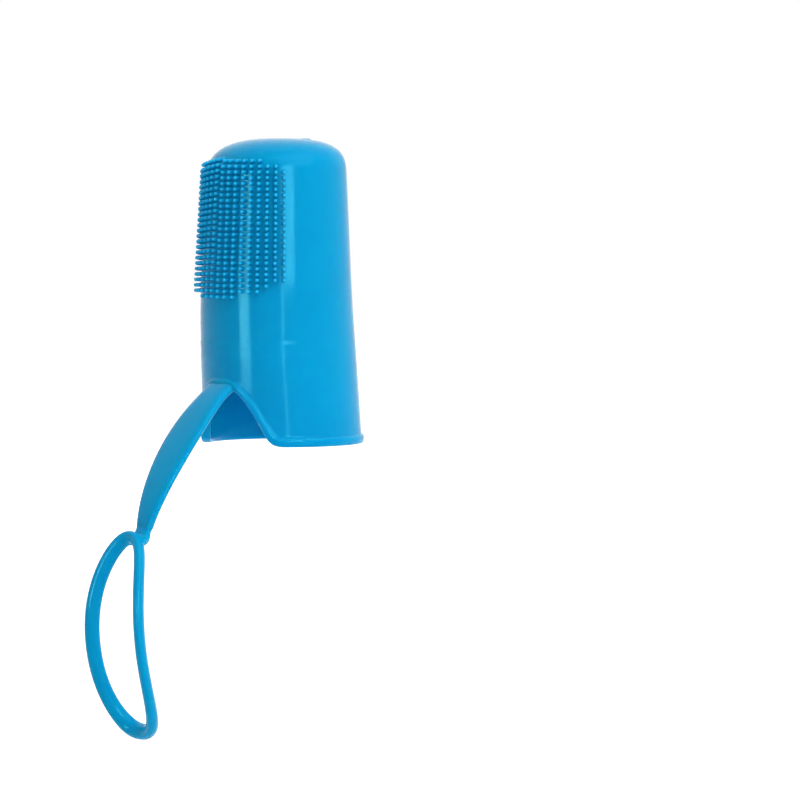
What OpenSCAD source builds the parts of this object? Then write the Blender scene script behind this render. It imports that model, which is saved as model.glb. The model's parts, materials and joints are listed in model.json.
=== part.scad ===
// Finger toothbrush for grooming pets: a soft thimble sleeve with bristles on
// its front, and a strap from the mouth that ends in a holding ring.
// Millimetres. Origin at the centre of the mouth, +Z along the finger to the
// closed tip, -Y towards the bristles, X across the brush.

/* [Sleeve] */
// Height of the sleeve's closed tip above the mouth
sleeve_h = 54.85; // [45:0.05:65]
// Outer radius at the mouth, behind the bead
mouth_r = 14.28; // [11:0.01:17]
// Outer radius where the sleeve bends forward
waist_r = 13.71; // [10:0.01:16]
// Outer radius just under the closed tip
top_r = 12.47; // [9:0.01:15]
// Height of the bend
waist_z = 25.76; // [18:0.01:32]
// How far the bend stands forward of the mouth's centre
waist_fwd = 1.5; // [0:0.05:3]
// Backward lean of the upper part, degrees
top_lean = 0.8; // [0:0.1:3]
// Wall thickness
wall = 1.3; // [0.8:0.05:2.5]

/* [Mouth bead and notch] */
// Height of the bead round the mouth
bead_h = 1.6; // [1:0.05:3]
// How far the bead stands out of the wall
bead_out = 0.47; // [0.2:0.01:1]
// Half angle of the front notch at the mouth, degrees
notch_half = 43.3; // [30:0.1:60]
// Height of the notch bead's centre line at its top
notch_h = 11.2; // [6:0.1:18]
// Half width of the notch bead along the wall
notch_bead_w = 0.62; // [0.4:0.01:1]

/* [Bristles] */
// Rows of bristles up the front
rows = 25; // [10:1:30]
// Distance between rows
row_pitch = 1.003; // [0.8:0.001:1.6]
// Height of the top row
row_top_z = 50.49; // [40:0.01:55]
// Angle between neighbouring bristles in a row, degrees
bristle_step = 6.4; // [5:0.1:9]
// Bristle radius
bristle_r = 0.34; // [0.2:0.01:0.6]
// Bristle length outside the wall
bristle_l = 1.35; // [0.8:0.05:3]

/* [Strap] */
// Strap thickness where it leaves the notch
strap_t = 2.0; // [1:0.05:3]
// Strap thickness at the neck
neck_t = 1.4; // [0.8:0.05:2.5]
// Width of the strap at its widest
strap_w = 8.3; // [5:0.1:12]
// Clearance at each flexing place
flex_gap = 0.12; // [0.08:0.01:0.3]

/* [Ring] */
// Half width of the ring's centre line
ring_a = 6.64; // [5:0.01:12]
// Height of the ring's widest place
ring_mid_z = -34.6; // [-45:0.1:-25]
// Height of the top of the ring's centre line
ring_top_z = -15.0; // [-20:0.1:-12]
// Height of the bottom of the ring's centre line
ring_low_z = -49.3; // [-60:0.1:-40]
// Larger half thickness of the ring's section
ring_sa = 1.3; // [0.8:0.01:2]
// Smaller half thickness of the ring's section
ring_sb = 0.94; // [0.6:0.01:1.6]

/* [Hidden] */
lean = atan(waist_fwd / waist_z);
top_z = 50.9 - waist_z;          // top of the tube in the upper frame
row_counts = [12, 16, 18, 18, 18, 18, 18, 18, 18, 18, 18, 18, 18,
              18, 18, 18, 18, 18, 18, 18, 18, 18, 14, 12, 6];
bead_r = mouth_r - wall / 2 + bead_out / 2;      // centre of the notch bead
bead_d = (wall + bead_out) / 2;                  // its half depth
blue = [0.05, 0.60, 0.85];
blue_deep = [0.03, 0.50, 0.75];

// strap centre line in the YZ plane, as a cubic curve
sp = [[-14.4, 11.2], [-20.0, 4.8], [-31.6, -4.9], [-32.5, -15.4]];
// width of the strap along that curve, as a share of strap_w
sw = [[0, 0.62], [0.11, 0.70], [0.18, 0.82], [0.26, 0.93], [0.36, 0.98],
      [0.46, 1], [0.55, 0.96], [0.64, 0.88], [0.74, 0.75], [0.83, 0.61],
      [0.92, 0.45], [1, 0.34]];
t_root = 0.055;    // flat end of the stub on the bead
t_mid = 0.50;      // flat end of the upper strap
t_neck = 0.885;    // flat end of the lower strap
t_end = 0.965;     // flat end of the neck link

function mix(a, b, t) = a * (1 - t) + b * t;
function bez(p, t) = pow(1 - t, 3) * p[0] + 3 * pow(1 - t, 2) * t * p[1]
                     + 3 * (1 - t) * t * t * p[2] + pow(t, 3) * p[3];
function dbez(p, t) = 3 * pow(1 - t, 2) * (p[1] - p[0])
                      + 6 * (1 - t) * t * (p[2] - p[1]) + 3 * t * t * (p[3] - p[2]);
function unit(v) = v / norm(v);
function width(t) = strap_w * lookup(t, sw);
function thick(t) = mix(strap_t, neck_t, t);
// curve parameter a distance d further along the strap
function along(t, d) = t + d / norm(dbez(sp, t));
// places the strap flexes about: a half thickness past each flat end
function pivot(t) = along(t, thick(t) / 2 + flex_gap);

// rounded rectangle w by h as a ring of 16 points
function slab(w, h) = let (r = 0.38 * h) [for (k = [0 : 3], a = [0, 30, 60, 90])
    [(w / 2 - r) * (k == 0 || k == 3 ? 1 : -1) + r * cos(90 * k + a),
     (h / 2 - r) * (k < 2 ? 1 : -1) + r * sin(90 * k + a)]];

// one cross-section of the strap, o along its tangent, scaled in thickness
function station(t, o, h) = let (c = bez(sp, t), d = unit(dbez(sp, t)), n = [d[1], -d[0]])
    [for (q = slab(width(t), h)) [q[0], c[0] + d[0] * o + n[0] * q[1],
                                  c[1] + d[1] * o + n[1] * q[1]]];

// solid from a list of equal rings of points, ends closed by a fan
module skin(rings) {
    m = len(rings);
    n = len(rings[0]);
    mid0 = [for (j = [0 : 2]) [for (p = rings[0]) p[j]] * [for (p = rings[0]) 1 / n]];
    mid1 = [for (j = [0 : 2]) [for (p = rings[m - 1]) p[j]] * [for (p = rings[0]) 1 / n]];
    pts = concat([for (r = rings) each r], [mid0, mid1]);
    faces = concat(
        [for (i = [0 : m - 2], k = [0 : n - 1]) each
            [[i * n + k, (i + 1) * n + (k + 1) % n, i * n + (k + 1) % n],
             [i * n + k, (i + 1) * n + k, (i + 1) * n + (k + 1) % n]]],
        [for (k = [0 : n - 1]) [k, (k + 1) % n, m * n]],
        [for (k = [0 : n - 1]) [(m - 1) * n + (k + 1) % n, (m - 1) * n + k, m * n + 1]]);
    polyhedron(pts, faces);
}

// closed loop from a list of equal rings of points
module loop_skin(rings) {
    m = len(rings);
    n = len(rings[0]);
    polyhedron([for (r = rings) each r],
        [for (i = [0 : m - 1], k = [0 : n - 1]) each
            [[i * n + k, ((i + 1) % m) * n + (k + 1) % n, i * n + (k + 1) % n],
             [i * n + k, ((i + 1) % m) * n + k, ((i + 1) % m) * n + (k + 1) % n]]]);
}

// stretch of strap from t0 to t1; a round start lets it flex about that place
module strap_piece(t0, t1, round_start, steps) {
    h0 = thick(t0);
    nose = round_start ? [for (a = [8, 25, 45, 65]) station(t0, -h0 / 2 * cos(a), h0 * sin(a))] : [];
    skin(concat(nose, [for (i = [0 : steps]) let (t = mix(t0, t1, i / steps))
        station(t, 0, thick(t))]));
}

module on_skirt() rotate([lean, 0, 0]) children();
module on_top() translate([0, -waist_fwd, waist_z]) rotate([-top_lean, 0, 0]) children();

mitre = (lean - top_lean) / 2;
// everything on one side of the sloping plane where the sleeve bends
module beyond_bend(up) translate([0, -waist_fwd, waist_z]) rotate([mitre, 0, 0])
    translate([-30, -30, up ? 0 : -60]) cube([60, 60, 60]);

// lower sleeve form with its wall moved inwards by d
module skirt_form(d) on_skirt() rotate_extrude($fn = 120)
    polygon([[0, -4 - d], [mouth_r + 0.09 - d, -4 - d], [waist_r - 0.05 - d, waist_z + 2 + d],
             [0, waist_z + 2 + d]]);

// half of the notch's edge: arc length along the wall and height
np = [[0, notch_h], [5.6, notch_h + 0.8], [6.2, 8.6], [10.35, 0.75]];
function notch_at(u) = let (p = bez(np, abs(u))) [sign(u) * p[0], p[1]];
// a point by the wall: arc s at the outer radius, height z, radius r
function wall_pt(s, z, r) = let (a = s / mouth_r * 180 / PI)
    [r * sin(a), -r * cos(a) - z * tan(lean), z];

module notch_cut() {
    pts = [for (i = [-12 : 12]) let (p = notch_at(i / 12)) [bead_r * sin(p[0] / mouth_r * 180 / PI), p[1]]];
    rotate([90, 0, 0]) linear_extrude(height = 30)
        polygon(concat(pts, [[pts[24][0], -3], [pts[0][0], -3]]));
}

// lower part of the finger sleeve, with the front notch cut out of its mouth
module sleeve_skirt() color(blue) difference() {
    skirt_form(0);
    skirt_form(wall);
    beyond_bend(true);
    notch_cut();
    translate([-30, -30, -20]) cube([60, 60, 20 + bead_h]);
}

// upper part of the finger sleeve, the tube that carries the bristles
module sleeve_upper() color(blue) difference() {
    on_top() difference() {
        rotate_extrude($fn = 120) polygon([[0, -2], [waist_r + 0.1, -2], [top_r, 23.84],
            [top_r - 0.17, 24.54], [top_r - 0.39, top_z], [0, top_z]]);
        rotate_extrude($fn = 120) polygon([[0, -3], [waist_r + 0.1 - wall, -3],
            [top_r - wall, 23.84], [top_r - 0.17 - wall, 24.54], [top_r - 0.39 - wall, top_z],
            [top_r - 0.39 - wall, top_z + 1], [0, top_z + 1]]);
    }
    beyond_bend(false);
}

// closed tip: the domed end over the fingertip
module closed_tip() color(blue) {
    q = sleeve_h - waist_z;
    on_top() difference() {
        rotate_extrude($fn = 120) polygon([[0, top_z], [top_r - 0.39, top_z],
            [top_r - 0.85, q - 2.7], [top_r - 1.75, q - 1.85], [top_r - 3.1, q - 1.15],
            [top_r - 4.8, q - 0.62], [top_r - 6.9, q - 0.25], [top_r - 9.4, q - 0.05], [0, q]]);
        rotate_extrude($fn = 120) polygon([[0, top_z - 1], [top_r - 0.39 - wall, top_z - 1],
            [top_r - 0.39 - wall, top_z], [top_r - 2.4, q - 3.1], [top_r - 4.2, q - 2.1],
            [top_r - 7.2, q - 1.5], [0, q - 1.3]]);
    }
}

// small nub left by the mould on the closed tip
module mould_nub() color(blue_deep) translate([0, 5.5, sleeve_h - 0.75])
    rotate_extrude($fn = 24) polygon([[0, 0], [0.85, 0], [0.8, 0.7], [0.55, 0.92], [0, 0.96]]);

// bead round the mouth, from one side of the notch round the back to the other
module mouth_rim() color(blue) rotate([0, 0, -90 + notch_half])
    rotate_extrude(angle = 360 - 2 * notch_half, $fn = 120) translate([mouth_r, 0])
        polygon([[-wall - 0.02, 0.18], [-wall + 0.16, 0], [bead_out - 0.4, 0], [bead_out - 0.12, 0.2],
                 [bead_out, 0.62], [bead_out, 0.98], [bead_out - 0.12, 1.38],
                 [bead_out - 0.4, bead_h], [-wall - 0.02, bead_h]]);

// bead along the notch's edge
module notch_bead() color(blue) skin([for (i = [-18 : 18]) let (
        u = i / 18, p = notch_at(u), g = unit(notch_at(min(u + 0.02, 1)) - notch_at(max(u - 0.02, -1))),
        m = [-g[1], g[0]])
    [for (k = [0 : 13]) let (a = 360 * k / 14, c = notch_bead_w * cos(a),
        e = bead_d * sign(sin(a)) * pow(abs(sin(a)), 0.7))
        wall_pt(p[0] + m[0] * c, p[1] + m[1] * c, bead_r + e)]]);

// one row of bristles, counted from the top; each is a round-ended pin
module bristle_row(i) {
    z = row_top_z - i * row_pitch - waist_z;
    n = row_counts[i];
    r = lookup(z, [[0, waist_r], [23.84, top_r], [24.54, top_r - 0.17], [25.2, top_r - 0.4]]);
    color(blue) on_top() for (k = [0 : n - 1])
        translate([0, 0, z]) rotate([0, 0, -90 + (k - (n - 1) / 2) * bristle_step]) rotate([0, 90, 0])
            rotate_extrude($fn = 14) polygon([[0, r - 0.7], [bristle_r, r - 0.7],
                [bristle_r, r + bristle_l - 0.3], [bristle_r * 0.8, r + bristle_l - 0.1],
                [bristle_r * 0.4, r + bristle_l], [0, r + bristle_l]]);
}

// stub of strap that grows out of the notch bead
module strap_root() color(blue) strap_piece(-0.01, t_root, false, 3);

// upper half of the strap
module strap_upper() color(blue) strap_piece(pivot(t_root), t_mid, true, 12);

// lower half of the strap, tapering to the neck
module strap_lower() color(blue) strap_piece(pivot(t_mid), t_neck, true, 12);

// short narrow neck that bends and twists
module neck_link() color(blue_deep) strap_piece(pivot(t_neck), t_end, true, 3);

// point of the ring's centre line at angle a, 0 at the top
function ring_pt(a) = let (c = cos(a), s = sin(a), e = c > 0 ? 2.14 : 2.5,
        z = ring_mid_z + (c > 0 ? ring_top_z - ring_mid_z : ring_mid_z - ring_low_z)
            * sign(c) * pow(abs(c), 2 / e),
        d = z + 29.7)
    [ring_a * sign(s) * pow(abs(s), 2 / e), -38.8 + (d > 0 ? 0.01747 : 0.0154) * d * d, z];

// holding ring, a tall loop bowed forward, its section turned like a cone
module tether_ring() color(blue) loop_skin([for (i = [0 : 71]) let (
        a = 5 * i, p = ring_pt(a), g = unit(ring_pt(a + 1) - ring_pt(a - 1)),
        b = unit([0, -1, 0] - g * (g * [0, -1, 0])), n = cross(g, b),
        out = n * (p - [0, p[1], ring_mid_z]) > 0 ? n : -n,
        k = 1 + 0.16 * pow(max(0, -cos(a)), 3),
        e1 = (out + b) / sqrt(2), e2 = cross(g, e1))
    [for (j = [0 : 11]) let (f = 30 * j)
        p + e1 * ring_sa * k * cos(f) + e2 * ring_sb * k * sin(f)]]);

// boss that carries the ring on the end of the neck
module ring_boss() color(blue_deep) {
    p = bez(sp, t_end);
    d = unit(dbez(sp, t_end));
    q = p + d * flex_gap;
    w = width(t_end);
    h = thick(t_end);
    skin([for (s = [0 : 5]) let (u = s / 5,
            c = mix(mix(q, q + d * 1.1, u), mix(q + d * 1.1, [-34.7, -15.25], u), u),
            f = mix(0, 62, u), ww = mix(w, 3.4, u), hh = mix(h, 1.9, u))
        [for (v = slab(ww, hh)) [v[0], c[0] + v[1] * (-cos(f)), c[1] + v[1] * (-sin(f)) * -1]]]);
}

/* node list */

sleeve_skirt();
sleeve_upper();
closed_tip();
mould_nub();
mouth_rim();
notch_bead();
bristle_row(0);  // bristle_row_01
bristle_row(1);  // bristle_row_02
bristle_row(2);  // bristle_row_03
bristle_row(3);  // bristle_row_04
bristle_row(4);  // bristle_row_05
bristle_row(5);  // bristle_row_06
bristle_row(6);  // bristle_row_07
bristle_row(7);  // bristle_row_08
bristle_row(8);  // bristle_row_09
bristle_row(9);  // bristle_row_10
bristle_row(10);  // bristle_row_11
bristle_row(11);  // bristle_row_12
bristle_row(12);  // bristle_row_13
bristle_row(13);  // bristle_row_14
bristle_row(14);  // bristle_row_15
bristle_row(15);  // bristle_row_16
bristle_row(16);  // bristle_row_17
bristle_row(17);  // bristle_row_18
bristle_row(18);  // bristle_row_19
bristle_row(19);  // bristle_row_20
bristle_row(20);  // bristle_row_21
bristle_row(21);  // bristle_row_22
bristle_row(22);  // bristle_row_23
bristle_row(23);  // bristle_row_24
bristle_row(24);  // bristle_row_25
strap_root();
strap_upper();
strap_lower();
neck_link();
ring_boss();
tether_ring();
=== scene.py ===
# %% [markdown]
# # Finger toothbrush
# A soft silicone thimble goes over one finger. Short bristles stand on its front, an arched
# notch opens the front of its mouth, and a strap from the top of that notch ends in a ring for
# the next finger. The real thing is one moulding, so nearly every piece here is one smooth skin
# made ring by ring, and the pieces meet without a visible join.

import json
import math

import bmesh
import bpy
from mathutils import Matrix, Vector, noise

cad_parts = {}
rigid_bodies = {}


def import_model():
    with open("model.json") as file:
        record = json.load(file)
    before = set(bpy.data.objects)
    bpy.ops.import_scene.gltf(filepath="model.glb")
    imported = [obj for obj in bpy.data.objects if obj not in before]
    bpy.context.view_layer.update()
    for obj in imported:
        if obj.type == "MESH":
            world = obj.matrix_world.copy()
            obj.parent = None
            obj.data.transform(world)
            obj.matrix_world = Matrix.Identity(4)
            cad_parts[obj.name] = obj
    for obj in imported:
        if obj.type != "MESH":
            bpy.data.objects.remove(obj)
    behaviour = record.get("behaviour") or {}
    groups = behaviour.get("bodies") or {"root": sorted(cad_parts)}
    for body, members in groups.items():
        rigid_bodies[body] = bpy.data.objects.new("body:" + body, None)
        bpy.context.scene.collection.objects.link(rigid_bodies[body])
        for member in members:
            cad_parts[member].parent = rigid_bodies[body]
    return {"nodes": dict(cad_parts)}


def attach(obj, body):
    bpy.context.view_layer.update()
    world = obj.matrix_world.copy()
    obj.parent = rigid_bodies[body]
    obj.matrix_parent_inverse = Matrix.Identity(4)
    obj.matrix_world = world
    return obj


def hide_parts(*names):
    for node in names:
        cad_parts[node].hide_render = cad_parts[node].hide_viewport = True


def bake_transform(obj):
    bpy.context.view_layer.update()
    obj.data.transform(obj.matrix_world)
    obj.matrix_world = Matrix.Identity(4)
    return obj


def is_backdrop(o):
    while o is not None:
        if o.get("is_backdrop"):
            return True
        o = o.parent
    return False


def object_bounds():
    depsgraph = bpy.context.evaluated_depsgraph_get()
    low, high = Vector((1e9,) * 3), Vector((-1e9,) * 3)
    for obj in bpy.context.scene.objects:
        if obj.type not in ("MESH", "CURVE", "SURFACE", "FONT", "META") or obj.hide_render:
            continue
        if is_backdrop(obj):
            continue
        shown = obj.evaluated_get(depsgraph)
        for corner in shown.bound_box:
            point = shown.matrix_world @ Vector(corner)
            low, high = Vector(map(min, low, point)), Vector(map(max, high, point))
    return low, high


for left_over in list(bpy.data.objects):
    bpy.data.objects.remove(left_over)
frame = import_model()
cad_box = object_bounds()
MM = 0.001
print("CAD box in mm:", [[round(c / MM, 2) for c in corner] for corner in cad_box])

# %% [markdown]
# ## The sleeve's form
# A finger narrows towards its tip and so does the sleeve. Its centre line leans a little
# forward up to a bend below the bristles, then stands nearly upright. These two small
# functions hold that form, and every later piece asks them where the wall is.

# %% Centre line and radius of the sleeve
MOUTH_R, WAIST_R, TOP_R = 14.28, 13.71, 12.47
WAIST_Z, SHOULDER_Z, TOP_R_Z, TIP_Z = 25.76, 48.5, 49.6, 54.85
WALL = 1.3
LEAN = 1.5 / WAIST_Z
TOP_LEAN = math.tan(math.radians(0.8))
# half the height over which the lean and the taper change at the bend
LEAN_SOFT, TAPER_SOFT = 5.0, 6.0


def soft_bend(z, width):
    """0 well below the bend and z - WAIST_Z well above it, with a smooth change between."""
    t = (z - WAIST_Z) / width
    if t <= -1:
        return 0.0
    return z - WAIST_Z if t >= 1 else width * (t + 1) ** 2 / 4


def centre_y(z):
    return -LEAN * z + (LEAN + TOP_LEAN) * soft_bend(z, LEAN_SOFT)


def wall_radius(z):
    lower = (MOUTH_R - WAIST_R) / WAIST_Z
    upper = (WAIST_R - TOP_R) / (TOP_R_Z - WAIST_Z)
    return MOUTH_R - lower * z - (upper - lower) * soft_bend(z, TAPER_SOFT)


for place, height in (("mouth", 0), ("bend", WAIST_Z), ("shoulder", SHOULDER_Z)):
    print("radius at the", place, "in mm:", round(wall_radius(height), 2))


# %% [markdown]
# ## Growing a skin ring by ring
# A hollow moulded form is easiest to control as a stack of rings. Each ring is extruded from
# the last one and its points are then moved to their places. A whole-number layer remembers
# which column a point belongs to, so the points can be found again after each extrusion.

# %% Helpers that grow a skin
def first_ring(bm, places):
    column = bm.verts.layers.int.new("column")
    made = bmesh.ops.create_circle(bm, segments=len(places), radius=1.0)
    for v in made["verts"]:
        k = round(math.atan2(v.co.y, v.co.x) / (2 * math.pi) * len(places)) % len(places)
        v[column] = k
    for v in made["verts"]:
        v.co = places[v[column]]
    return list(bm.edges)


def next_ring(bm, edges, places):
    column = bm.verts.layers.int["column"]
    grown = bmesh.ops.extrude_edge_only(bm, edges=edges)["geom"]
    new = {g for g in grown if isinstance(g, bmesh.types.BMVert)}
    for v in new:
        v.co = places[v[column]]
    return [g for g in grown if isinstance(g, bmesh.types.BMEdge) and new.issuperset(g.verts)]


def close_ring(bm, edges, point):
    """Draws a last ring in to one point, which closes the skin without a hole."""
    column = bm.verts.layers.int["column"]
    n = max(v[column] for v in bm.verts) + 1
    last = next_ring(bm, edges, [point] * n)
    bmesh.ops.pointmerge(bm, verts=list({v for e in last for v in e.verts}), merge_co=point)


def finish_mesh(bm, name):
    """Turns all faces outwards and makes the object, with its place in its mesh."""
    bmesh.ops.recalc_face_normals(bm, faces=bm.faces)
    for f in bm.faces:
        f.smooth = True
    mesh = bpy.data.meshes.new(name)
    bm.to_mesh(mesh)
    bm.free()
    obj = bpy.data.objects.new(name, mesh)
    bpy.context.scene.collection.objects.link(obj)
    print(name, "faces:", len(mesh.polygons))
    return obj


def mixed(a, b, t):
    return a + (b - a) * t


def cubic(p, t):
    """Point on a cubic curve with four control points."""
    s = 1 - t
    return tuple(s ** 3 * a + 3 * s * s * t * b + 3 * s * t * t * c + t ** 3 * d
                 for a, b, c, d in zip(*p))


# %% [markdown]
# ## The edge of the mouth
# The mouth is a circle with an arch cut into its front. The edge is laid out flat first, as
# distance round the wall against height, because the arch, the straight run and the rounded
# corner between them are then three simple curves. Its points are spaced evenly along it.

# %% Lay out the mouth's edge
ARCH = ((0, 11.2), (4.9, 11.5), (6.35, 8.2), (9.95, 1.95))
CORNER = ((9.95, 1.95), (10.55, 0.95), (11.3, 0.8), (12.9, 0.8))
RUN_START, RUN_H = CORNER[-1]
HALF_ROUND = math.pi * MOUTH_R
EDGE_POINTS = 288


def edge_layout():
    """Half the edge as evenly spaced (round, height) points, front first."""
    rough = [cubic(ARCH, i / 60) for i in range(60)]
    rough += [cubic(CORNER, i / 20) for i in range(20)]
    rough += [(mixed(RUN_START, HALF_ROUND, i / 80), RUN_H) for i in range(81)]
    length = [0.0]
    for a, b in zip(rough, rough[1:]):
        length.append(length[-1] + math.dist(a, b))
    half, out, k = EDGE_POINTS // 2, [], 0
    for i in range(half + 1):
        want = length[-1] * i / half
        while k < len(rough) - 2 and length[k + 1] < want:
            k += 1
        f = (want - length[k]) / (length[k + 1] - length[k])
        a, b = rough[k], rough[k + 1]
        out.append((mixed(a[0], b[0], f), mixed(a[1], b[1], f)))
    return out


half_edge = edge_layout()
edge = half_edge + [(-s, h) for s, h in reversed(half_edge[1:-1])]
print("edge points:", len(edge), "front height:", edge[0][1])

# %% Direction from the edge into the wall
def into_wall(i):
    a, b = edge[i - 1], edge[(i + 1) % EDGE_POINTS]
    ds, dh = b[0] - a[0], b[1] - a[1]
    if abs(ds) > HALF_ROUND:
        return (0.0, 1.0)
    size = math.hypot(ds, dh)
    return (-dh / size, ds / size)


inward = [into_wall(i) for i in range(EDGE_POINTS)]
for _ in range(3):
    inward = [tuple((inward[i - 1][k] + 2 * inward[i][k] + inward[(i + 1) % EDGE_POINTS][k]) / 4
                    for k in (0, 1)) for i in range(EDGE_POINTS)]
print("direction at the front and at the back:", inward[0], inward[EDGE_POINTS // 2])

# %% Width of the bead along the edge
MOUTH_BEAD, ARCH_BEAD = 0.8, 0.66
ARCH_CREST, BEAD_CHANGE = 11.6, 3


def bead_half(i):
    """Half width of the edge bead: narrower up the sides of the arch than round the mouth."""
    h = edge[i][1]
    side = min(1, max(0, (h - RUN_H) / BEAD_CHANGE)) * min(1, max(0, (ARCH_CREST - h) / BEAD_CHANGE))
    return mixed(MOUTH_BEAD, ARCH_BEAD, side)


print("bead width from and to in mm:", 2 * ARCH_BEAD, 2 * MOUTH_BEAD)


# %% [markdown]
# ## Skin of the sleeve
# From the outer pole the rings run down the wall, round the bead at the edge, and up the
# inside to the inner pole. Near the edge the rings keep their distance from it; higher up they
# turn level. Each column is a curve that leaves the edge squarely and arrives upright. Moulding
# leaves small signs on the outside, and they are part of the form here, not only of the finish:
# a shallow plain band low on the front, a hair-thin seam down the front and the back where the
# halves of the mould met, and a wall that is never perfectly round.

# %% Band and seam left by the mould
LEVEL_Z = 15.0
# heights down the front, and how far the wall stands out at each
BAND = [(19.2, 0.0), (18.65, 0.0), (18.45, 0.07), (17.5, 0.05),
        (16.4, 0.02), (16.2, 0.075), (15.6, 0.07), (15.0, 0.06)]
SEAM_PROUD, SEAM_REACH = 0.03, 0.025


def band_proud(z, angle):
    """How far the wall stands out at the plain band, fading away below it and round the sides."""
    low, low_proud = BAND[-1]
    if z >= BAND[0][0]:
        return 0.0
    if z < low:
        out = low_proud * max(0, z / low)
    else:
        out = next(mixed(a[1], b[1], (a[0] - z) / (a[0] - b[0]))
                   for a, b in zip(BAND, BAND[1:]) if a[0] >= z >= b[0])
    return out * min(1, max(0, 1.6 - abs(angle) / 0.9))


def seam(angle):
    """A hair-thin ridge down the front and the back, where the two halves of the mould met."""
    return SEAM_PROUD * max(0, 1 - abs(math.sin(angle)) / SEAM_REACH)


print("band stands out in mm:", [band_proud(z, 0) for z, _ in BAND])

# %% Places of the sleeve's rings
WOBBLE = 0.05
# how a column leaves the edge and how early it turns upright
OFF_ALONG, OFF_UP, UPRIGHT_SHARE = 0.7, 0.35, 0.38


def on_wall(s, z, out=0.0):
    """Point s round the wall at height z, out beyond its surface, with its small unevenness."""
    angle = s / MOUTH_R
    r = wall_radius(z) + out
    spot = Vector((2.2 * math.sin(angle), 2.2 * math.cos(angle), z * 0.09))
    wobble = WOBBLE * noise.noise(spot)
    r += wobble * min(1, max(0, (z - 2) / 8))
    if out >= 0:
        turn = math.remainder(angle, 2 * math.pi)
        r += band_proud(z, turn) + (seam(turn) if z > LEVEL_Z - 1 else 0)
    return Vector((r * math.sin(angle), centre_y(z) - r * math.cos(angle), z)) * MM


def beside_edge(i, d, out):
    """Point d into the wall from the edge, out beyond the wall's surface."""
    s, h = edge[i]
    m = inward[i]
    return on_wall(s + m[0] * d, h + m[1] * d, out)


def column_curve(i, t, d0, out):
    """Point on the column from just above the bead (t = 0) to the level ring (t = 1)."""
    s, h = edge[i]
    m = inward[i]
    f = i if i <= EDGE_POINTS // 2 else i - EDGE_POINTS
    s_top = HALF_ROUND * f / (EDGE_POINTS // 2)
    start = (s + m[0] * d0, h + m[1] * d0)
    reach = (LEVEL_Z - start[1]) * UPRIGHT_SHARE
    off_edge = (start[0] + m[0] * OFF_ALONG, start[1] + m[1] * reach * OFF_UP)
    p = cubic((start, off_edge, (s_top, LEVEL_Z - reach), (s_top, LEVEL_Z)), t)
    return on_wall(p[0], p[1], out)


def level_ring(z, out):
    half = EDGE_POINTS // 2
    return [on_wall(HALF_ROUND * (i if i <= half else i - EDGE_POINTS) / half, z, out)
            for i in range(EDGE_POINTS)]


# %% Places of the dome's rings
DRAW_IN = 0.045
SQUARENESS, SQUARER_BEHIND = 2.8, 0.3


def dome_ring(turn, inset):
    """Ring of the closed tip, turn degrees over from the wall; rounder in front than behind."""
    ring = []
    z0 = SHOULDER_Z
    r0, h0 = wall_radius(z0) - inset, TIP_Z - z0 - inset
    c, s = math.cos(math.radians(turn)), math.sin(math.radians(turn))
    for i in range(EDGE_POINTS):
        a = 2 * math.pi * i / EDGE_POINTS
        n = SQUARENESS - SQUARER_BEHIND * math.cos(a)
        z = z0 + h0 * s ** (2 / n)
        r = (r0 - DRAW_IN * (z - z0)) * c ** (2 / n) + (seam(a) * c if inset == 0 else 0)
        ring.append(Vector((r * math.sin(a), centre_y(z) - r * math.cos(a), z)) * MM)
    return ring


# %% Outside of the sleeve, from its tip down to the bead
OVER_OUTSIDE = [86, 80, 73, 66, 59, 52, 46, 40, 34, 28, 22, 16, 11, 7, 3.5]
WALL_RINGS, WALL_LOW_Z, COLUMN_RINGS = 38, 19.4, 20
OUTER_GAP, INNER_GAP = 0.55, 0.1
points = range(EDGE_POINTS)
sleeve_bm = bmesh.new()
ring = first_ring(sleeve_bm, dome_ring(88.8, 0))
outer_pole_edges = list(ring)
for turn in OVER_OUTSIDE:
    ring = next_ring(sleeve_bm, ring, dome_ring(turn, 0))
for k in range(WALL_RINGS):
    z = mixed(SHOULDER_Z, WALL_LOW_Z, k / WALL_RINGS)
    ring = next_ring(sleeve_bm, ring, level_ring(z, 0))
for z, _ in BAND[:-1]:
    ring = next_ring(sleeve_bm, ring, level_ring(z, 0))
for k in range(COLUMN_RINGS):
    t = 1 - k / COLUMN_RINGS
    places = [column_curve(i, t, bead_half(i) + OUTER_GAP, 0) for i in points]
    ring = next_ring(sleeve_bm, ring, places)
print("faces outside:", len(sleeve_bm.faces))

# %% Round the bead
# each step: share of the bead's half width, extra distance into the wall, height over the wall
BEAD = [(1.0, 0.5, 0.0), (1.0, 0.25, 0.03), (1.0, 0.08, 0.11), (0.96, 0, 0.24),
        (0.82, 0, 0.36), (0.6, 0, 0.43), (0.3, 0, 0.465), (0, 0, 0.47),
        (-0.3, 0, 0.45), (-0.6, 0, 0.39), (-0.82, 0, 0.28), (-0.95, 0, 0.12),
        (-1.0, 0, -0.05), (-1.0, 0, -0.35), (-1.0, 0, -0.7), (-1.0, 0, -1.0), (-0.93, 0, -1.16),
        (-0.75, 0, -1.26), (-0.45, 0, -1.3), (0, 0, -1.3), (0.6, 0, -1.3)]
for share, extra, out in BEAD:
    places = [beside_edge(i, share * bead_half(i) + extra, out) for i in points]
    ring = next_ring(sleeve_bm, ring, places)
print("faces with the bead:", len(sleeve_bm.faces))

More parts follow.
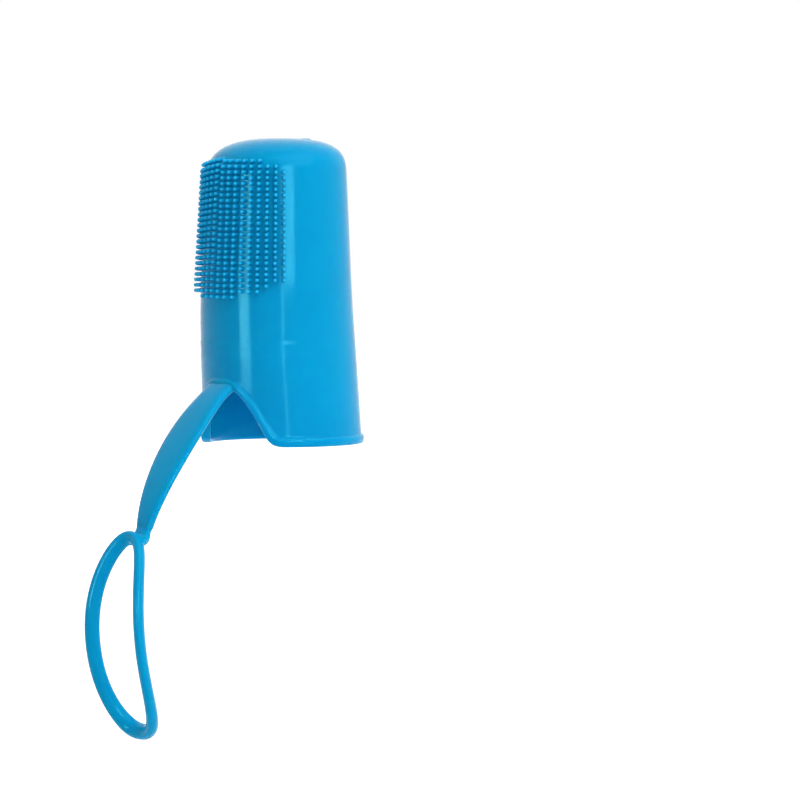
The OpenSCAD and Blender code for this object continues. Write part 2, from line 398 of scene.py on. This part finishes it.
# %% Up the inside, and both poles closed
INNER_COLUMN_RINGS, INNER_WALL_RINGS = 16, 8
OVER_INSIDE = (8, 18, 30, 42, 54, 66, 78, 87)
for k in range(1, INNER_COLUMN_RINGS + 1):
    t = k / INNER_COLUMN_RINGS
    places = [column_curve(i, t, bead_half(i) + INNER_GAP, -WALL) for i in points]
    ring = next_ring(sleeve_bm, ring, places)
for k in range(1, INNER_WALL_RINGS + 1):
    z = mixed(LEVEL_Z, SHOULDER_Z, k / INNER_WALL_RINGS)
    ring = next_ring(sleeve_bm, ring, level_ring(z, -WALL))
for turn in OVER_INSIDE:
    ring = next_ring(sleeve_bm, ring, dome_ring(turn, WALL))
close_ring(sleeve_bm, ring, Vector((0, centre_y(TIP_Z), TIP_Z - WALL)) * MM)
close_ring(sleeve_bm, outer_pole_edges, Vector((0, centre_y(TIP_Z), TIP_Z + 0.01)) * MM)
sleeve = finish_mesh(sleeve_bm, "finger_sleeve")

# %% [markdown]
# ## Nub on the tip
# Where the mould was filled, the tip keeps a low flat nub. A short profile spun about its own
# axis makes it, with its foot sunk into the dome so that it grows out of the skin.

# %% Build the nub
nub_bm = bmesh.new()
profile = [(0.0, 0.2), (0.6, 0.18), (1.0, 0.12), (1.18, -0.02), (1.3, -0.25), (1.9, -0.6)]
nub_place = (0, 5.5, 54.72)
line = [nub_bm.verts.new(Vector((r, 0, z)) * MM) for r, z in profile]
edges = [nub_bm.edges.new(pair) for pair in zip(line, line[1:])]
bmesh.ops.spin(nub_bm, geom=line + edges, cent=(0, 0, 0), axis=(0, 0, 1),
               angle=2 * math.pi, steps=24, use_merge=True)
bmesh.ops.remove_doubles(nub_bm, verts=nub_bm.verts, dist=1e-7)
bmesh.ops.translate(nub_bm, verts=nub_bm.verts, vec=Vector(nub_place) * MM)
nub = finish_mesh(nub_bm, "mould_nub")

# %% [markdown]
# ## Bristles
# Each bristle is a stub of the same silicone with a small flare at its foot and a rounded end.
# There are hundreds, so one light bristle is made once and copied to its places row by row.
# A little difference in lean and length from one to the next keeps them from looking stamped,
# and on one side of the seam the rows sit a little higher, as the mould's halves were set. Each
# bristle also carries how near each point is to its end. That value paints the ends paler, as
# painted light for the light the ends catch.

# %% One bristle, standing on the origin along +X
BRISTLE_R, BRISTLE_L, BRISTLE_SIDES = 0.34, 1.35, 8
# distance along the bristle and share of its radius there
BRISTLE_RINGS = [(-0.25, 1.35), (0.03, 1.3), (0.2, 1.06), (0.7, 0.98), (1.05, 0.94), (1.24, 0.74)]


def one_bristle():
    bm = bmesh.new()

    def around(x, share):
        turns = [2 * math.pi * k / BRISTLE_SIDES for k in range(BRISTLE_SIDES)]
        return [Vector((x, BRISTLE_R * share * math.cos(a), BRISTLE_R * share * math.sin(a))) * MM
                for a in turns]

    ring = first_ring(bm, around(*BRISTLE_RINGS[0]))
    bmesh.ops.contextual_create(bm, geom=ring)
    for x, share in BRISTLE_RINGS[1:]:
        ring = next_ring(bm, ring, around(x, share))
    close_ring(bm, ring, Vector((BRISTLE_L, 0, 0)) * MM)
    bmesh.ops.recalc_face_normals(bm, faces=bm.faces)
    mesh = bpy.data.meshes.new("bristle_pattern")
    bm.to_mesh(mesh)
    bm.free()
    return mesh


bristle = one_bristle()
print("faces of one bristle:", len(bristle.polygons))

# %% Rows of bristles
ROW_COUNTS = [12, 16] + [18] * 20 + [14, 12, 6]
ROW_PITCH, ROW_TOP_Z, BRISTLE_STEP = 1.003, 50.49, 6.4
SHIFT_LOW, SHIFT_TOP, SHIFT_FALL = 0.1, 0.29, 0.0275
UNEVEN_LEAN, UNEVEN_SIZE = 0.035, 0.05
ROW_ARCH, TOP_ROUND, FOOT_SUNK = 0.17, 2.6, 0.02


def half_shift(index, turn):
    """Rows past the seam start a little higher and run down round the side."""
    if turn > 0:
        return 0.0
    upper = 1 - index / (len(ROW_COUNTS) - 1)
    return mixed(SHIFT_LOW, SHIFT_TOP, upper) - SHIFT_FALL * upper * (abs(turn) - BRISTLE_STEP / 2)


def bristle_row(index, count):
    bm = bmesh.new()
    base = ROW_TOP_Z - index * ROW_PITCH
    for k in range(count):
        turn = (k - (count - 1) / 2) * BRISTLE_STEP
        a = math.radians(turn)
        z = base + ROW_ARCH * math.cos(a) + half_shift(index, turn)
        r = wall_radius(z)
        if z > SHOULDER_Z:
            f = (z - SHOULDER_Z) / (TIP_Z - SHOULDER_Z)
            r = wall_radius(SHOULDER_Z) - DRAW_IN * (z - SHOULDER_Z)
            r *= (1 - f ** TOP_ROUND) ** (1 / TOP_ROUND)
        seed = Vector((index * 1.7, k * 2.3, 0.5))
        lean = UNEVEN_LEAN * noise.noise(seed)
        tilt = UNEVEN_LEAN * noise.noise(seed + Vector((9, 4, 2)))
        size = 1 + UNEVEN_SIZE * noise.noise(seed + Vector((3, 7, 5)))
        before = set(bm.verts)
        bm.from_mesh(bristle)
        new = [v for v in bm.verts if v not in before]
        place = (Matrix.Translation(Vector((0, centre_y(z), z)) * MM)
                 @ Matrix.Rotation(a - math.pi / 2, 4, "Z")
                 @ Matrix.Translation(Vector((r - FOOT_SUNK, 0, 0)) * MM) @ Matrix.Rotation(lean, 4, "Z")
                 @ Matrix.Rotation(tilt, 4, "Y") @ Matrix.Diagonal((size, 1, 1, 1)))
        bmesh.ops.transform(bm, matrix=place, verts=new)
    row = finish_mesh(bm, f"bristles_row_{index + 1:02d}")
    # share of each point near the bristle's end, which paints the ends paler as painted light
    tips = [min(1, max(0, (v.co.x / MM - 0.8) / 0.45)) for v in bristle.vertices]
    row.data.attributes.new("tip", "FLOAT", "POINT").data.foreach_set("value", tips * count)
    return row


rows = [bristle_row(i, n) for i, n in enumerate(ROW_COUNTS)]
print("bristles:", sum(ROW_COUNTS))

# %% [markdown]
# ## Strap
# The strap grows out of the top of the notch, widens, then narrows to the neck, with softly
# rounded edges. It is cut across into three pieces, each holding one flexing place.
# The cuts lie where both sides move together, and both sides have the same ring there. The end
# of the neck is part of the ring's skin, made further down, which overlaps the last piece.

# %% The strap's line and cross-section
STRAP = ((-14.4, 10.5), (-20.6, 6.4), (-31.2, -6.1), (-32.5, -15.4))
# share of the way along the strap and its width there
WIDTHS = [(0, 6.3), (0.11, 6.3), (0.18, 7.0), (0.26, 7.9), (0.36, 8.3), (0.46, 8.5),
          (0.55, 8.2), (0.64, 7.5), (0.74, 6.4), (0.83, 5.3), (0.92, 4.0), (1, 3.0)]
ROOT_THICK, NECK_THICK = 2.0, 1.4
SIDES = 16


def width_at(t):
    for (t0, v0), (t1, v1) in zip(WIDTHS, WIDTHS[1:]):
        if t <= t1:
            return mixed(v0, v1, max(0, (t - t0) / (t1 - t0)))
    return WIDTHS[-1][1]


def strap_width(t):
    """Width at t, averaged over a short length so that it changes smoothly."""
    return sum(width_at(t + d) for d in (-0.06, -0.03, 0, 0.03, 0.06)) / 5


def strap_section(t, wide=1.0, thick=1.0):
    """Ring of points across the strap: a rounded bar, a little fuller on its outer face."""
    y, z = cubic(STRAP, t)
    y1, z1 = cubic(STRAP, t + 0.01)
    y0, z0 = cubic(STRAP, t - 0.01)
    d = Vector((y1 - y0, z1 - z0)).normalized()
    n = Vector((d.y, -d.x))
    w, h = strap_width(t) * wide / 2, mixed(ROOT_THICK, NECK_THICK, t) * thick / 2
    ring = []
    for k in range(SIDES):
        a = 2 * math.pi * k / SIDES
        c, s = math.cos(a), math.sin(a)
        x = w * math.copysign(abs(c) ** 0.55, c)
        o = h * math.copysign(abs(s) ** 0.75, s) * 1.04
        ring.append(Vector((x, y + n.x * o, z + n.y * o)) * MM)
    return ring


def bake_modifiers(obj):
    """The piece's mesh as its modifiers leave it, with the modifiers then taken off."""
    graph = bpy.context.evaluated_depsgraph_get()
    mesh = bpy.data.meshes.new_from_object(obj.evaluated_get(graph))
    obj.modifiers.clear()
    obj.data = mesh
    return obj


# %% Strap pieces
FOOT_FLARE, FOOT_LENGTH = 0.1, 0.08
ROOT_CUT, MID_CUT, LOW_CUT, NECK_CUT = -0.03, 0.30, 0.70, 0.9375


def flare(t):
    """Widening of the strap where it grows out of the notch's bead."""
    return 1 + FOOT_FLARE * max(0, 1 - t / FOOT_LENGTH) ** 2


def strap_piece(name, t0, t1, steps):
    """A closed length of strap between two cuts, with crisp ends that meet the next one."""
    bm = bmesh.new()
    ring = first_ring(bm, strap_section(t0, flare(t0)))
    start = bmesh.ops.contextual_create(bm, geom=ring)["faces"]
    for k in range(1, steps + 1):
        t = mixed(t0, t1, k / steps)
        ring = next_ring(bm, ring, strap_section(t, flare(t)))
    end = bmesh.ops.contextual_create(bm, geom=ring)["faces"]
    crease = bm.edges.layers.float.new("crease_edge")
    for f in start + end:
        for e in f.edges:
            e[crease] = 1.0
            e.smooth = False
    obj = finish_mesh(bm, name)
    soften = obj.modifiers.new("soften", "SUBSURF")
    soften.levels = soften.render_levels = 2
    return bake_modifiers(obj)


strap_top = strap_piece("strap_root_and_upper", ROOT_CUT, MID_CUT, 10)
strap_mid = strap_piece("strap_middle", MID_CUT, LOW_CUT, 12)
strap_low = strap_piece("strap_lower_and_neck", LOW_CUT, NECK_CUT, 8)

# %% [markdown]
# ## Ring
# The holding ring is a tall loop, bowed forward, of an oval cord that is turned like the wall
# of a cone. The neck runs into its top. In the mould both are one cavity, so the join is a
# soft fork: the two forms are laid into each other, made one skin with a fine voxel remesh,
# and the sharp valley between them is then smoothed into a fillet.

# %% The ring's centre line
RING_A, RING_TOP, RING_MID, RING_LOW = 6.64, -15.0, -34.6, -49.3
RING_FRONT_Y, RING_FRONT_Z = -38.8, -29.7
BOW_ABOVE, BOW_BELOW = 0.01747, 0.0154
ROUND_ABOVE, ROUND_BELOW = 2.14, 2.5


def ring_line(a):
    c, s = math.cos(a), math.sin(a)
    e = ROUND_ABOVE if c > 0 else ROUND_BELOW
    reach = RING_TOP - RING_MID if c > 0 else RING_MID - RING_LOW
    z = RING_MID + reach * math.copysign(abs(c) ** (2 / e), c)
    d = z - RING_FRONT_Z
    x = RING_A * math.copysign(abs(s) ** (2 / e), s)
    return Vector((x, RING_FRONT_Y + (BOW_ABOVE if d > 0 else BOW_BELOW) * d * d, z))


print("ring from and to in mm:", RING_TOP, RING_LOW)

# %% The cord's cross-section
CORD_LONG, CORD_SHORT, THICKER_BELOW = 1.36, 0.98, 0.16
RING_STEPS, RING_SIDES = 96, 20


def ring_section(a):
    p = ring_line(a)
    g = (ring_line(a + 0.01) - ring_line(a - 0.01)).normalized()
    forward = Vector((0, -1, 0))
    b = (forward - g * g.dot(forward)).normalized()
    out = g.cross(b)
    if out.dot(p - Vector((0, p.y, RING_MID))) < 0:
        out = -out
    k = 1 + THICKER_BELOW * max(0, -math.cos(a)) ** 3
    e1 = (out + b).normalized()
    e2 = g.cross(e1)
    return [(p + e1 * CORD_LONG * k * math.cos(f) + e2 * CORD_SHORT * k * math.sin(f)) * MM
            for f in (2 * math.pi * j / RING_SIDES for j in range(RING_SIDES))]


# %% Build the ring
ring_bm = bmesh.new()
loop = first_ring(ring_bm, ring_section(0.0))
first_loop = list(loop)
for i in range(1, RING_STEPS):
    loop = next_ring(ring_bm, loop, ring_section(2 * math.pi * i / RING_STEPS))
bmesh.ops.bridge_loops(ring_bm, edges=loop + first_loop)
tether = finish_mesh(ring_bm, "tether_ring_and_neck")


# %% Grow the neck into the ring's top
def elbow(y, z, turn, wide, thick):
    """Ring across the neck's elbow, turned from pointing down towards the ring."""
    a = math.radians(turn)
    n = Vector((-math.cos(a), math.sin(a)))
    out = []
    for k in range(SIDES):
        f = 2 * math.pi * k / SIDES
        c, s_ = math.cos(f), math.sin(f)
        x = wide * math.copysign(abs(c) ** 0.8, c)
        o = thick * math.copysign(abs(s_) ** 0.85, s_)
        out.append(Vector((x, y + n.x * o, z + n.y * o)) * MM)
    return out


NECK_START = 0.90
# y, z, turn in degrees, half width and half thickness at each step of the elbow
ELBOW = ((-32.5, -14.1, 8, 1.85, 0.78), (-32.75, -14.9, 22, 2.0, 0.95),
         (-33.45, -15.5, 42, 2.5, 1.05), (-34.2, -15.65, 62, 3.1, 1.1), (-34.9, -15.7, 80, 3.3, 0.9))
neck_bm = bmesh.new()
grown = first_ring(neck_bm, strap_section(NECK_START, 0.97, 0.97))
bmesh.ops.contextual_create(neck_bm, geom=grown)
for t in (0.92, 0.94):
    grown = next_ring(neck_bm, grown, strap_section(t, 0.99, 0.99))
for spot in ELBOW:
    grown = next_ring(neck_bm, grown, elbow(*spot))
close_ring(neck_bm, grown, Vector((0, -35.3, -15.4)) * MM)
neck_form = finish_mesh(neck_bm, "neck_form")

# %% Join ring and neck into one skin
VOXEL, FILLET_STEPS = 0.00017, 14
joined = bmesh.new()
joined.from_mesh(tether.data)
joined.from_mesh(neck_form.data)
joined.to_mesh(tether.data)
joined.free()
bpy.data.objects.remove(neck_form)
skin_over = tether.modifiers.new("one_skin", "REMESH")
skin_over.mode = "VOXEL"
skin_over.voxel_size = VOXEL
skin_over.use_smooth_shade = True
fillet = tether.modifiers.new("fillet", "SMOOTH")
fillet.factor, fillet.iterations = 0.5, FILLET_STEPS
bake_modifiers(tether)
print("faces of ring and neck:", len(tether.data.polygons))

# %% [markdown]
# ## Silicone
# Moulded silicone is a strong, even colour with a soft gloss: its skin shows fine flow marks
# and a faint grain, it glows a little where light comes through thin parts, and its shine is
# tinted by the pigment just under the skin. Base colour, roughness and bump each get their own
# noise at their own scale, so no part of it is one flat value. Light travels far inside the
# broad sleeve, less far in the thin strap, and hardly at all in a bristle, so the three share
# one recipe with three depths. The bristles' ends are painted paler, by the value each point
# carries: painted light for the light the ends catch.

# %% Silicone material
MARKS, GLOSS_PATCHES, FLOW, GRAIN = 90, 260, 120, 2600
SMOOTHEST, ROUGHEST = 0.08, 0.15


def silicone(name, base, deep, depth, weight=0.8, tip=None):
    mat = bpy.data.materials.new(name)
    mat.use_nodes = True
    nodes, links = mat.node_tree.nodes, mat.node_tree.links
    nodes.clear()
    out = nodes.new("ShaderNodeOutputMaterial")
    skin = nodes.new("ShaderNodeBsdfPrincipled")
    links.new(skin.outputs["BSDF"], out.inputs["Surface"])
    place = nodes.new("ShaderNodeTexCoord")

    def cloud(scale, detail, rough):
        n = nodes.new("ShaderNodeTexNoise")
        n.inputs["Scale"].default_value = scale
        n.inputs["Detail"].default_value = detail
        n.inputs["Roughness"].default_value = rough
        links.new(place.outputs["Object"], n.inputs["Vector"])
        return n.outputs["Fac"]

    def ranged(value, a, b, low, high):
        m = nodes.new("ShaderNodeMapRange")
        for key, v in (("From Min", a), ("From Max", b), ("To Min", low), ("To Max", high)):
            m.inputs[key].default_value = v
        links.new(value, m.inputs["Value"])
        return m.outputs["Result"]

    tone = nodes.new("ShaderNodeMix")
    tone.data_type = "RGBA"
    tone.inputs["A"].default_value = (*base, 1)
    tone.inputs["B"].default_value = (*deep, 1)
    links.new(ranged(cloud(MARKS, 4, 0.55), 0.35, 0.75, 0.0, 0.8), tone.inputs["Factor"])
    colour = tone.outputs["Result"]
    # painted light: bristle ends are mixed towards a paler colour that stands in for the light they
    # catch
    if tip:
        end = nodes.new("ShaderNodeAttribute")
        end.attribute_name = "tip"
        painted_tip_light_mix = nodes.new("ShaderNodeMix")
        painted_tip_light_mix.data_type = "RGBA"
        painted_tip_light_mix.inputs["B"].default_value = (*tip, 1)
        links.new(end.outputs["Fac"], painted_tip_light_mix.inputs["Factor"])
        links.new(colour, painted_tip_light_mix.inputs["A"])
        colour = painted_tip_light_mix.outputs["Result"]
    links.new(colour, skin.inputs["Base Color"])
    gloss = ranged(cloud(GLOSS_PATCHES, 5, 0.6), 0.3, 0.7, SMOOTHEST, ROUGHEST)
    links.new(gloss, skin.inputs["Roughness"])
    flow = nodes.new("ShaderNodeBump")
    flow.inputs["Strength"].default_value = 0.2
    flow.inputs["Distance"].default_value = 0.0003
    links.new(cloud(FLOW, 2, 0.5), flow.inputs["Height"])
    fine = nodes.new("ShaderNodeBump")
    fine.inputs["Strength"].default_value = 0.1
    fine.inputs["Distance"].default_value = 0.00005
    links.new(cloud(GRAIN, 3, 0.6), fine.inputs["Height"])
    links.new(flow.outputs["Normal"], fine.inputs["Normal"])
    links.new(fine.outputs["Normal"], skin.inputs["Normal"])
    skin.inputs["IOR"].default_value = 1.36
    skin.inputs["Specular IOR Level"].default_value = 0.18
    skin.inputs["Specular Tint"].default_value = (0.15, 0.9, 1.0, 1)
    skin.inputs["Subsurface Weight"].default_value = weight
    skin.inputs["Subsurface Radius"].default_value = (0.2, 0.6, 1.0)
    skin.inputs["Subsurface Scale"].default_value = depth
    print(name, "nodes:", len(nodes))
    return mat


# %% Silicone on every piece
BLUE = (0.002, 0.365, 0.675)
DEEP = (0.002, 0.335, 0.635)
# paler colour painted on the bristle ends, as painted light for the light the ends catch
PAINTED_TIP_LIGHT = (0.02, 0.52, 0.93)
blue_silicone = silicone("blue_silicone", BLUE, DEEP, 0.0025)
strap_silicone = silicone("strap_silicone", BLUE, DEEP, 0.0007, weight=0.6)
bristle_silicone = silicone("bristle_silicone", BLUE, DEEP, 0.001, weight=0.2, tip=PAINTED_TIP_LIGHT)
thick_pieces = [sleeve, nub]
thin_pieces = [strap_top, strap_mid, strap_low, tether]
finishes = ((thick_pieces, blue_silicone), (thin_pieces, strap_silicone), (rows, bristle_silicone))
for pieces, finish in finishes:
    for piece in pieces:
        piece.data.materials.clear()
        piece.data.materials.append(finish)
for cad_node in frame["nodes"].values():
    cad_node.data.materials.clear()
    cad_node.data.materials.append(blue_silicone)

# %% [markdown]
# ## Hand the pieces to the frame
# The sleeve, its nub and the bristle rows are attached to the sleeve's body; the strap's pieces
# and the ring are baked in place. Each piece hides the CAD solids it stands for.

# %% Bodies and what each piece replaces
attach(sleeve, "sleeve")
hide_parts("sleeve_skirt", "sleeve_upper", "closed_tip", "mouth_rim", "notch_bead")
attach(nub, "sleeve")
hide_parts("mould_nub")
for i, row in enumerate(rows):
    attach(row, "sleeve")
    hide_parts(f"bristle_row_{i + 1:02d}")


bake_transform(strap_top)
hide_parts("strap_root", "strap_upper")
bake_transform(strap_mid)
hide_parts("strap_lower")
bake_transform(strap_low)
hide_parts("neck_link")
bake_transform(tether)
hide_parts("ring_boss", "tether_ring")

# %% [markdown]
# ## Floor and light
# The brush hangs over a plain pale floor, as if held up by a finger. Soft light comes from all
# round, from a broad key at the right front and from a weaker panel behind. Three small panels
# are kept to the gloss only: they draw the upright glints that show how shiny the curved wall
# is, and add no light to its colour. World and floor look white to the camera and in gloss, but
# light the brush at a plain level.

# %% Pale world
FILL = 0.34


def seen_directly(tree):
    """1 for the camera and for rays that show this surface in gloss or through clear parts."""
    path = tree.nodes.new("ShaderNodeLightPath")
    seen = path.outputs["Is Camera Ray"]
    for extra in ("Is Glossy Ray", "Is Transmission Ray"):
        both = tree.nodes.new("ShaderNodeMath")
        both.operation = "MAXIMUM"
        tree.links.new(seen, both.inputs[0])
        tree.links.new(path.outputs[extra], both.inputs[1])
        seen = both.outputs[0]
    return seen


world = bpy.data.worlds.new("studio")
bpy.context.scene.world = world
world.use_nodes = True
tree = world.node_tree
tree.nodes.clear()
sky_out = tree.nodes.new("ShaderNodeOutputWorld")
fill = tree.nodes.new("ShaderNodeBackground")
fill.inputs["Color"].default_value = (0.97, 0.99, 1, 1)
fill.inputs["Strength"].default_value = FILL
white = tree.nodes.new("ShaderNodeBackground")
white.inputs["Color"].default_value = (1, 1, 1, 1)
which = tree.nodes.new("ShaderNodeMixShader")
tree.links.new(seen_directly(tree), which.inputs["Fac"])
tree.links.new(fill.outputs["Background"], which.inputs[1])
tree.links.new(white.outputs["Background"], which.inputs[2])
tree.links.new(which.outputs["Shader"], sky_out.inputs["Surface"])
print("world fill:", FILL)

# %% Floor
FLOOR_Z, FLOOR_HALF = -0.085, 3.0
FLOOR_GREY = 0.88
NEAR, FAR, NEAR_GLOW, FAR_GLOW = 0.15, 1.2, 0.42, 0.75
floor_bm = bmesh.new()
bmesh.ops.create_grid(floor_bm, x_segments=1, y_segments=1, size=FLOOR_HALF)
bmesh.ops.translate(floor_bm, verts=floor_bm.verts, vec=(0, 0, FLOOR_Z))
floor = finish_mesh(floor_bm, "floor")
floor_mat = bpy.data.materials.new("pale_floor")
floor_mat.use_nodes = True
floor_tree = floor_mat.node_tree
paint = floor_tree.nodes["Principled BSDF"]
paint.inputs["Base Color"].default_value = (FLOOR_GREY, FLOOR_GREY, FLOOR_GREY, 1)
paint.inputs["Roughness"].default_value = 0.8
paint.inputs["Specular IOR Level"].default_value = 0.0
paint.inputs["Emission Color"].default_value = (1, 1, 1, 1)
floor_place = floor_tree.nodes.new("ShaderNodeTexCoord")
away = floor_tree.nodes.new("ShaderNodeVectorMath")
away.operation = "LENGTH"
top_up = floor_tree.nodes.new("ShaderNodeMapRange")
for key, v in (("From Min", NEAR), ("From Max", FAR), ("To Min", NEAR_GLOW), ("To Max", FAR_GLOW)):
    top_up.inputs[key].default_value = v
lifted = floor_tree.nodes.new("ShaderNodeMath")
lifted.operation = "MULTIPLY"
floor_tree.links.new(floor_place.outputs["Object"], away.inputs[0])
floor_tree.links.new(away.outputs["Value"], top_up.inputs["Value"])
floor_tree.links.new(top_up.outputs["Result"], lifted.inputs[0])
floor_tree.links.new(seen_directly(floor_tree), lifted.inputs[1])
floor_tree.links.new(lifted.outputs[0], paint.inputs["Emission Strength"])
floor.data.materials.append(floor_mat)
floor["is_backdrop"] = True
print("floor at", FLOOR_Z)

# %% Lamps
CAMERA_AZ = 47.064
LAMP_TARGET = Vector((0, -0.005, 0.01))


def from_side(az, el):
    """Direction from the brush towards a lamp or the camera, with 0,0 straight in front."""
    a, e = math.radians(az), math.radians(el)
    return Vector((math.sin(a) * math.cos(e), -math.cos(a) * math.cos(e), math.sin(e)))


def panel(name, az, el, distance, width, height, watts, shine=True, lights=True):
    """A soft panel aimed at the brush; it can be kept out of the gloss, or kept to the gloss."""
    lamp = bpy.data.lights.new(name, "AREA")
    lamp.shape = "RECTANGLE"
    lamp.size, lamp.size_y, lamp.energy = width, height, watts
    obj = bpy.data.objects.new(name, lamp)
    bpy.context.scene.collection.objects.link(obj)
    obj.location = LAMP_TARGET + distance * from_side(az, el)
    obj.rotation_euler = (LAMP_TARGET - obj.location).to_track_quat("-Z", "Y").to_euler()
    obj.visible_glossy, obj.visible_diffuse = shine, lights
    print("lamp", name, "at", [round(c, 2) for c in obj.location])


panel("key", CAMERA_AZ + 38, 46, 1.3, 1.2, 1.2, 15.0)
panel("behind", CAMERA_AZ + 185, 25, 1.3, 1.2, 1.2, 6.0, shine=False)
panel("right_glint", CAMERA_AZ + 20, 15, 0.9, 0.3, 0.3, 6.4, lights=False)
panel("right_line", CAMERA_AZ + 10.5, -2, 0.9, 0.025, 0.5, 1.3, lights=False)
panel("left_glint", CAMERA_AZ - 48.0, 1, 0.9, 0.24, 0.35, 7.0, lights=False)

# %% Camera
CAMERA_EL, CAMERA_ROLL = 2.756, 0.111
CAMERA_D, CAMERA_RIGHT, CAMERA_UP = 668.6, 21.14, 7.73
SENSOR, FOCAL_TO_FRAME = 36, 3703 / 800
cam = bpy.data.cameras.new("camera")
camera = bpy.data.objects.new("camera", cam)
bpy.context.scene.collection.objects.link(camera)
bpy.context.scene.camera = camera
az, roll = math.radians(CAMERA_AZ), math.radians(CAMERA_ROLL)
back = from_side(CAMERA_AZ, CAMERA_EL)
level = Vector((math.cos(az), math.sin(az), 0))
upright = back.cross(level)
right = math.cos(roll) * level - math.sin(roll) * upright
up = math.sin(roll) * level + math.cos(roll) * upright
spot = (back * CAMERA_D + right * CAMERA_RIGHT + up * CAMERA_UP) * MM
camera.matrix_world = Matrix.Translation(spot) @ Matrix((right, up, back)).transposed().to_4x4()
cam.sensor_width = SENSOR
cam.lens = SENSOR * FOCAL_TO_FRAME
cam.clip_start, cam.clip_end = 0.01, 20
bpy.context.scene.view_settings.view_transform = "Standard"
print("camera at", [round(c, 4) for c in spot], "lens", round(cam.lens, 1))

# %% [markdown]
# ## Check the size and finish
# The finished brush must fill the same box as the CAD model, so both boxes are kept.

# %% Sizes
looks_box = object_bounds()
for a, b in zip(cad_box, looks_box):
    print("CAD", [round(c / MM, 2) for c in a], "visual", [round(c / MM, 2) for c in b])
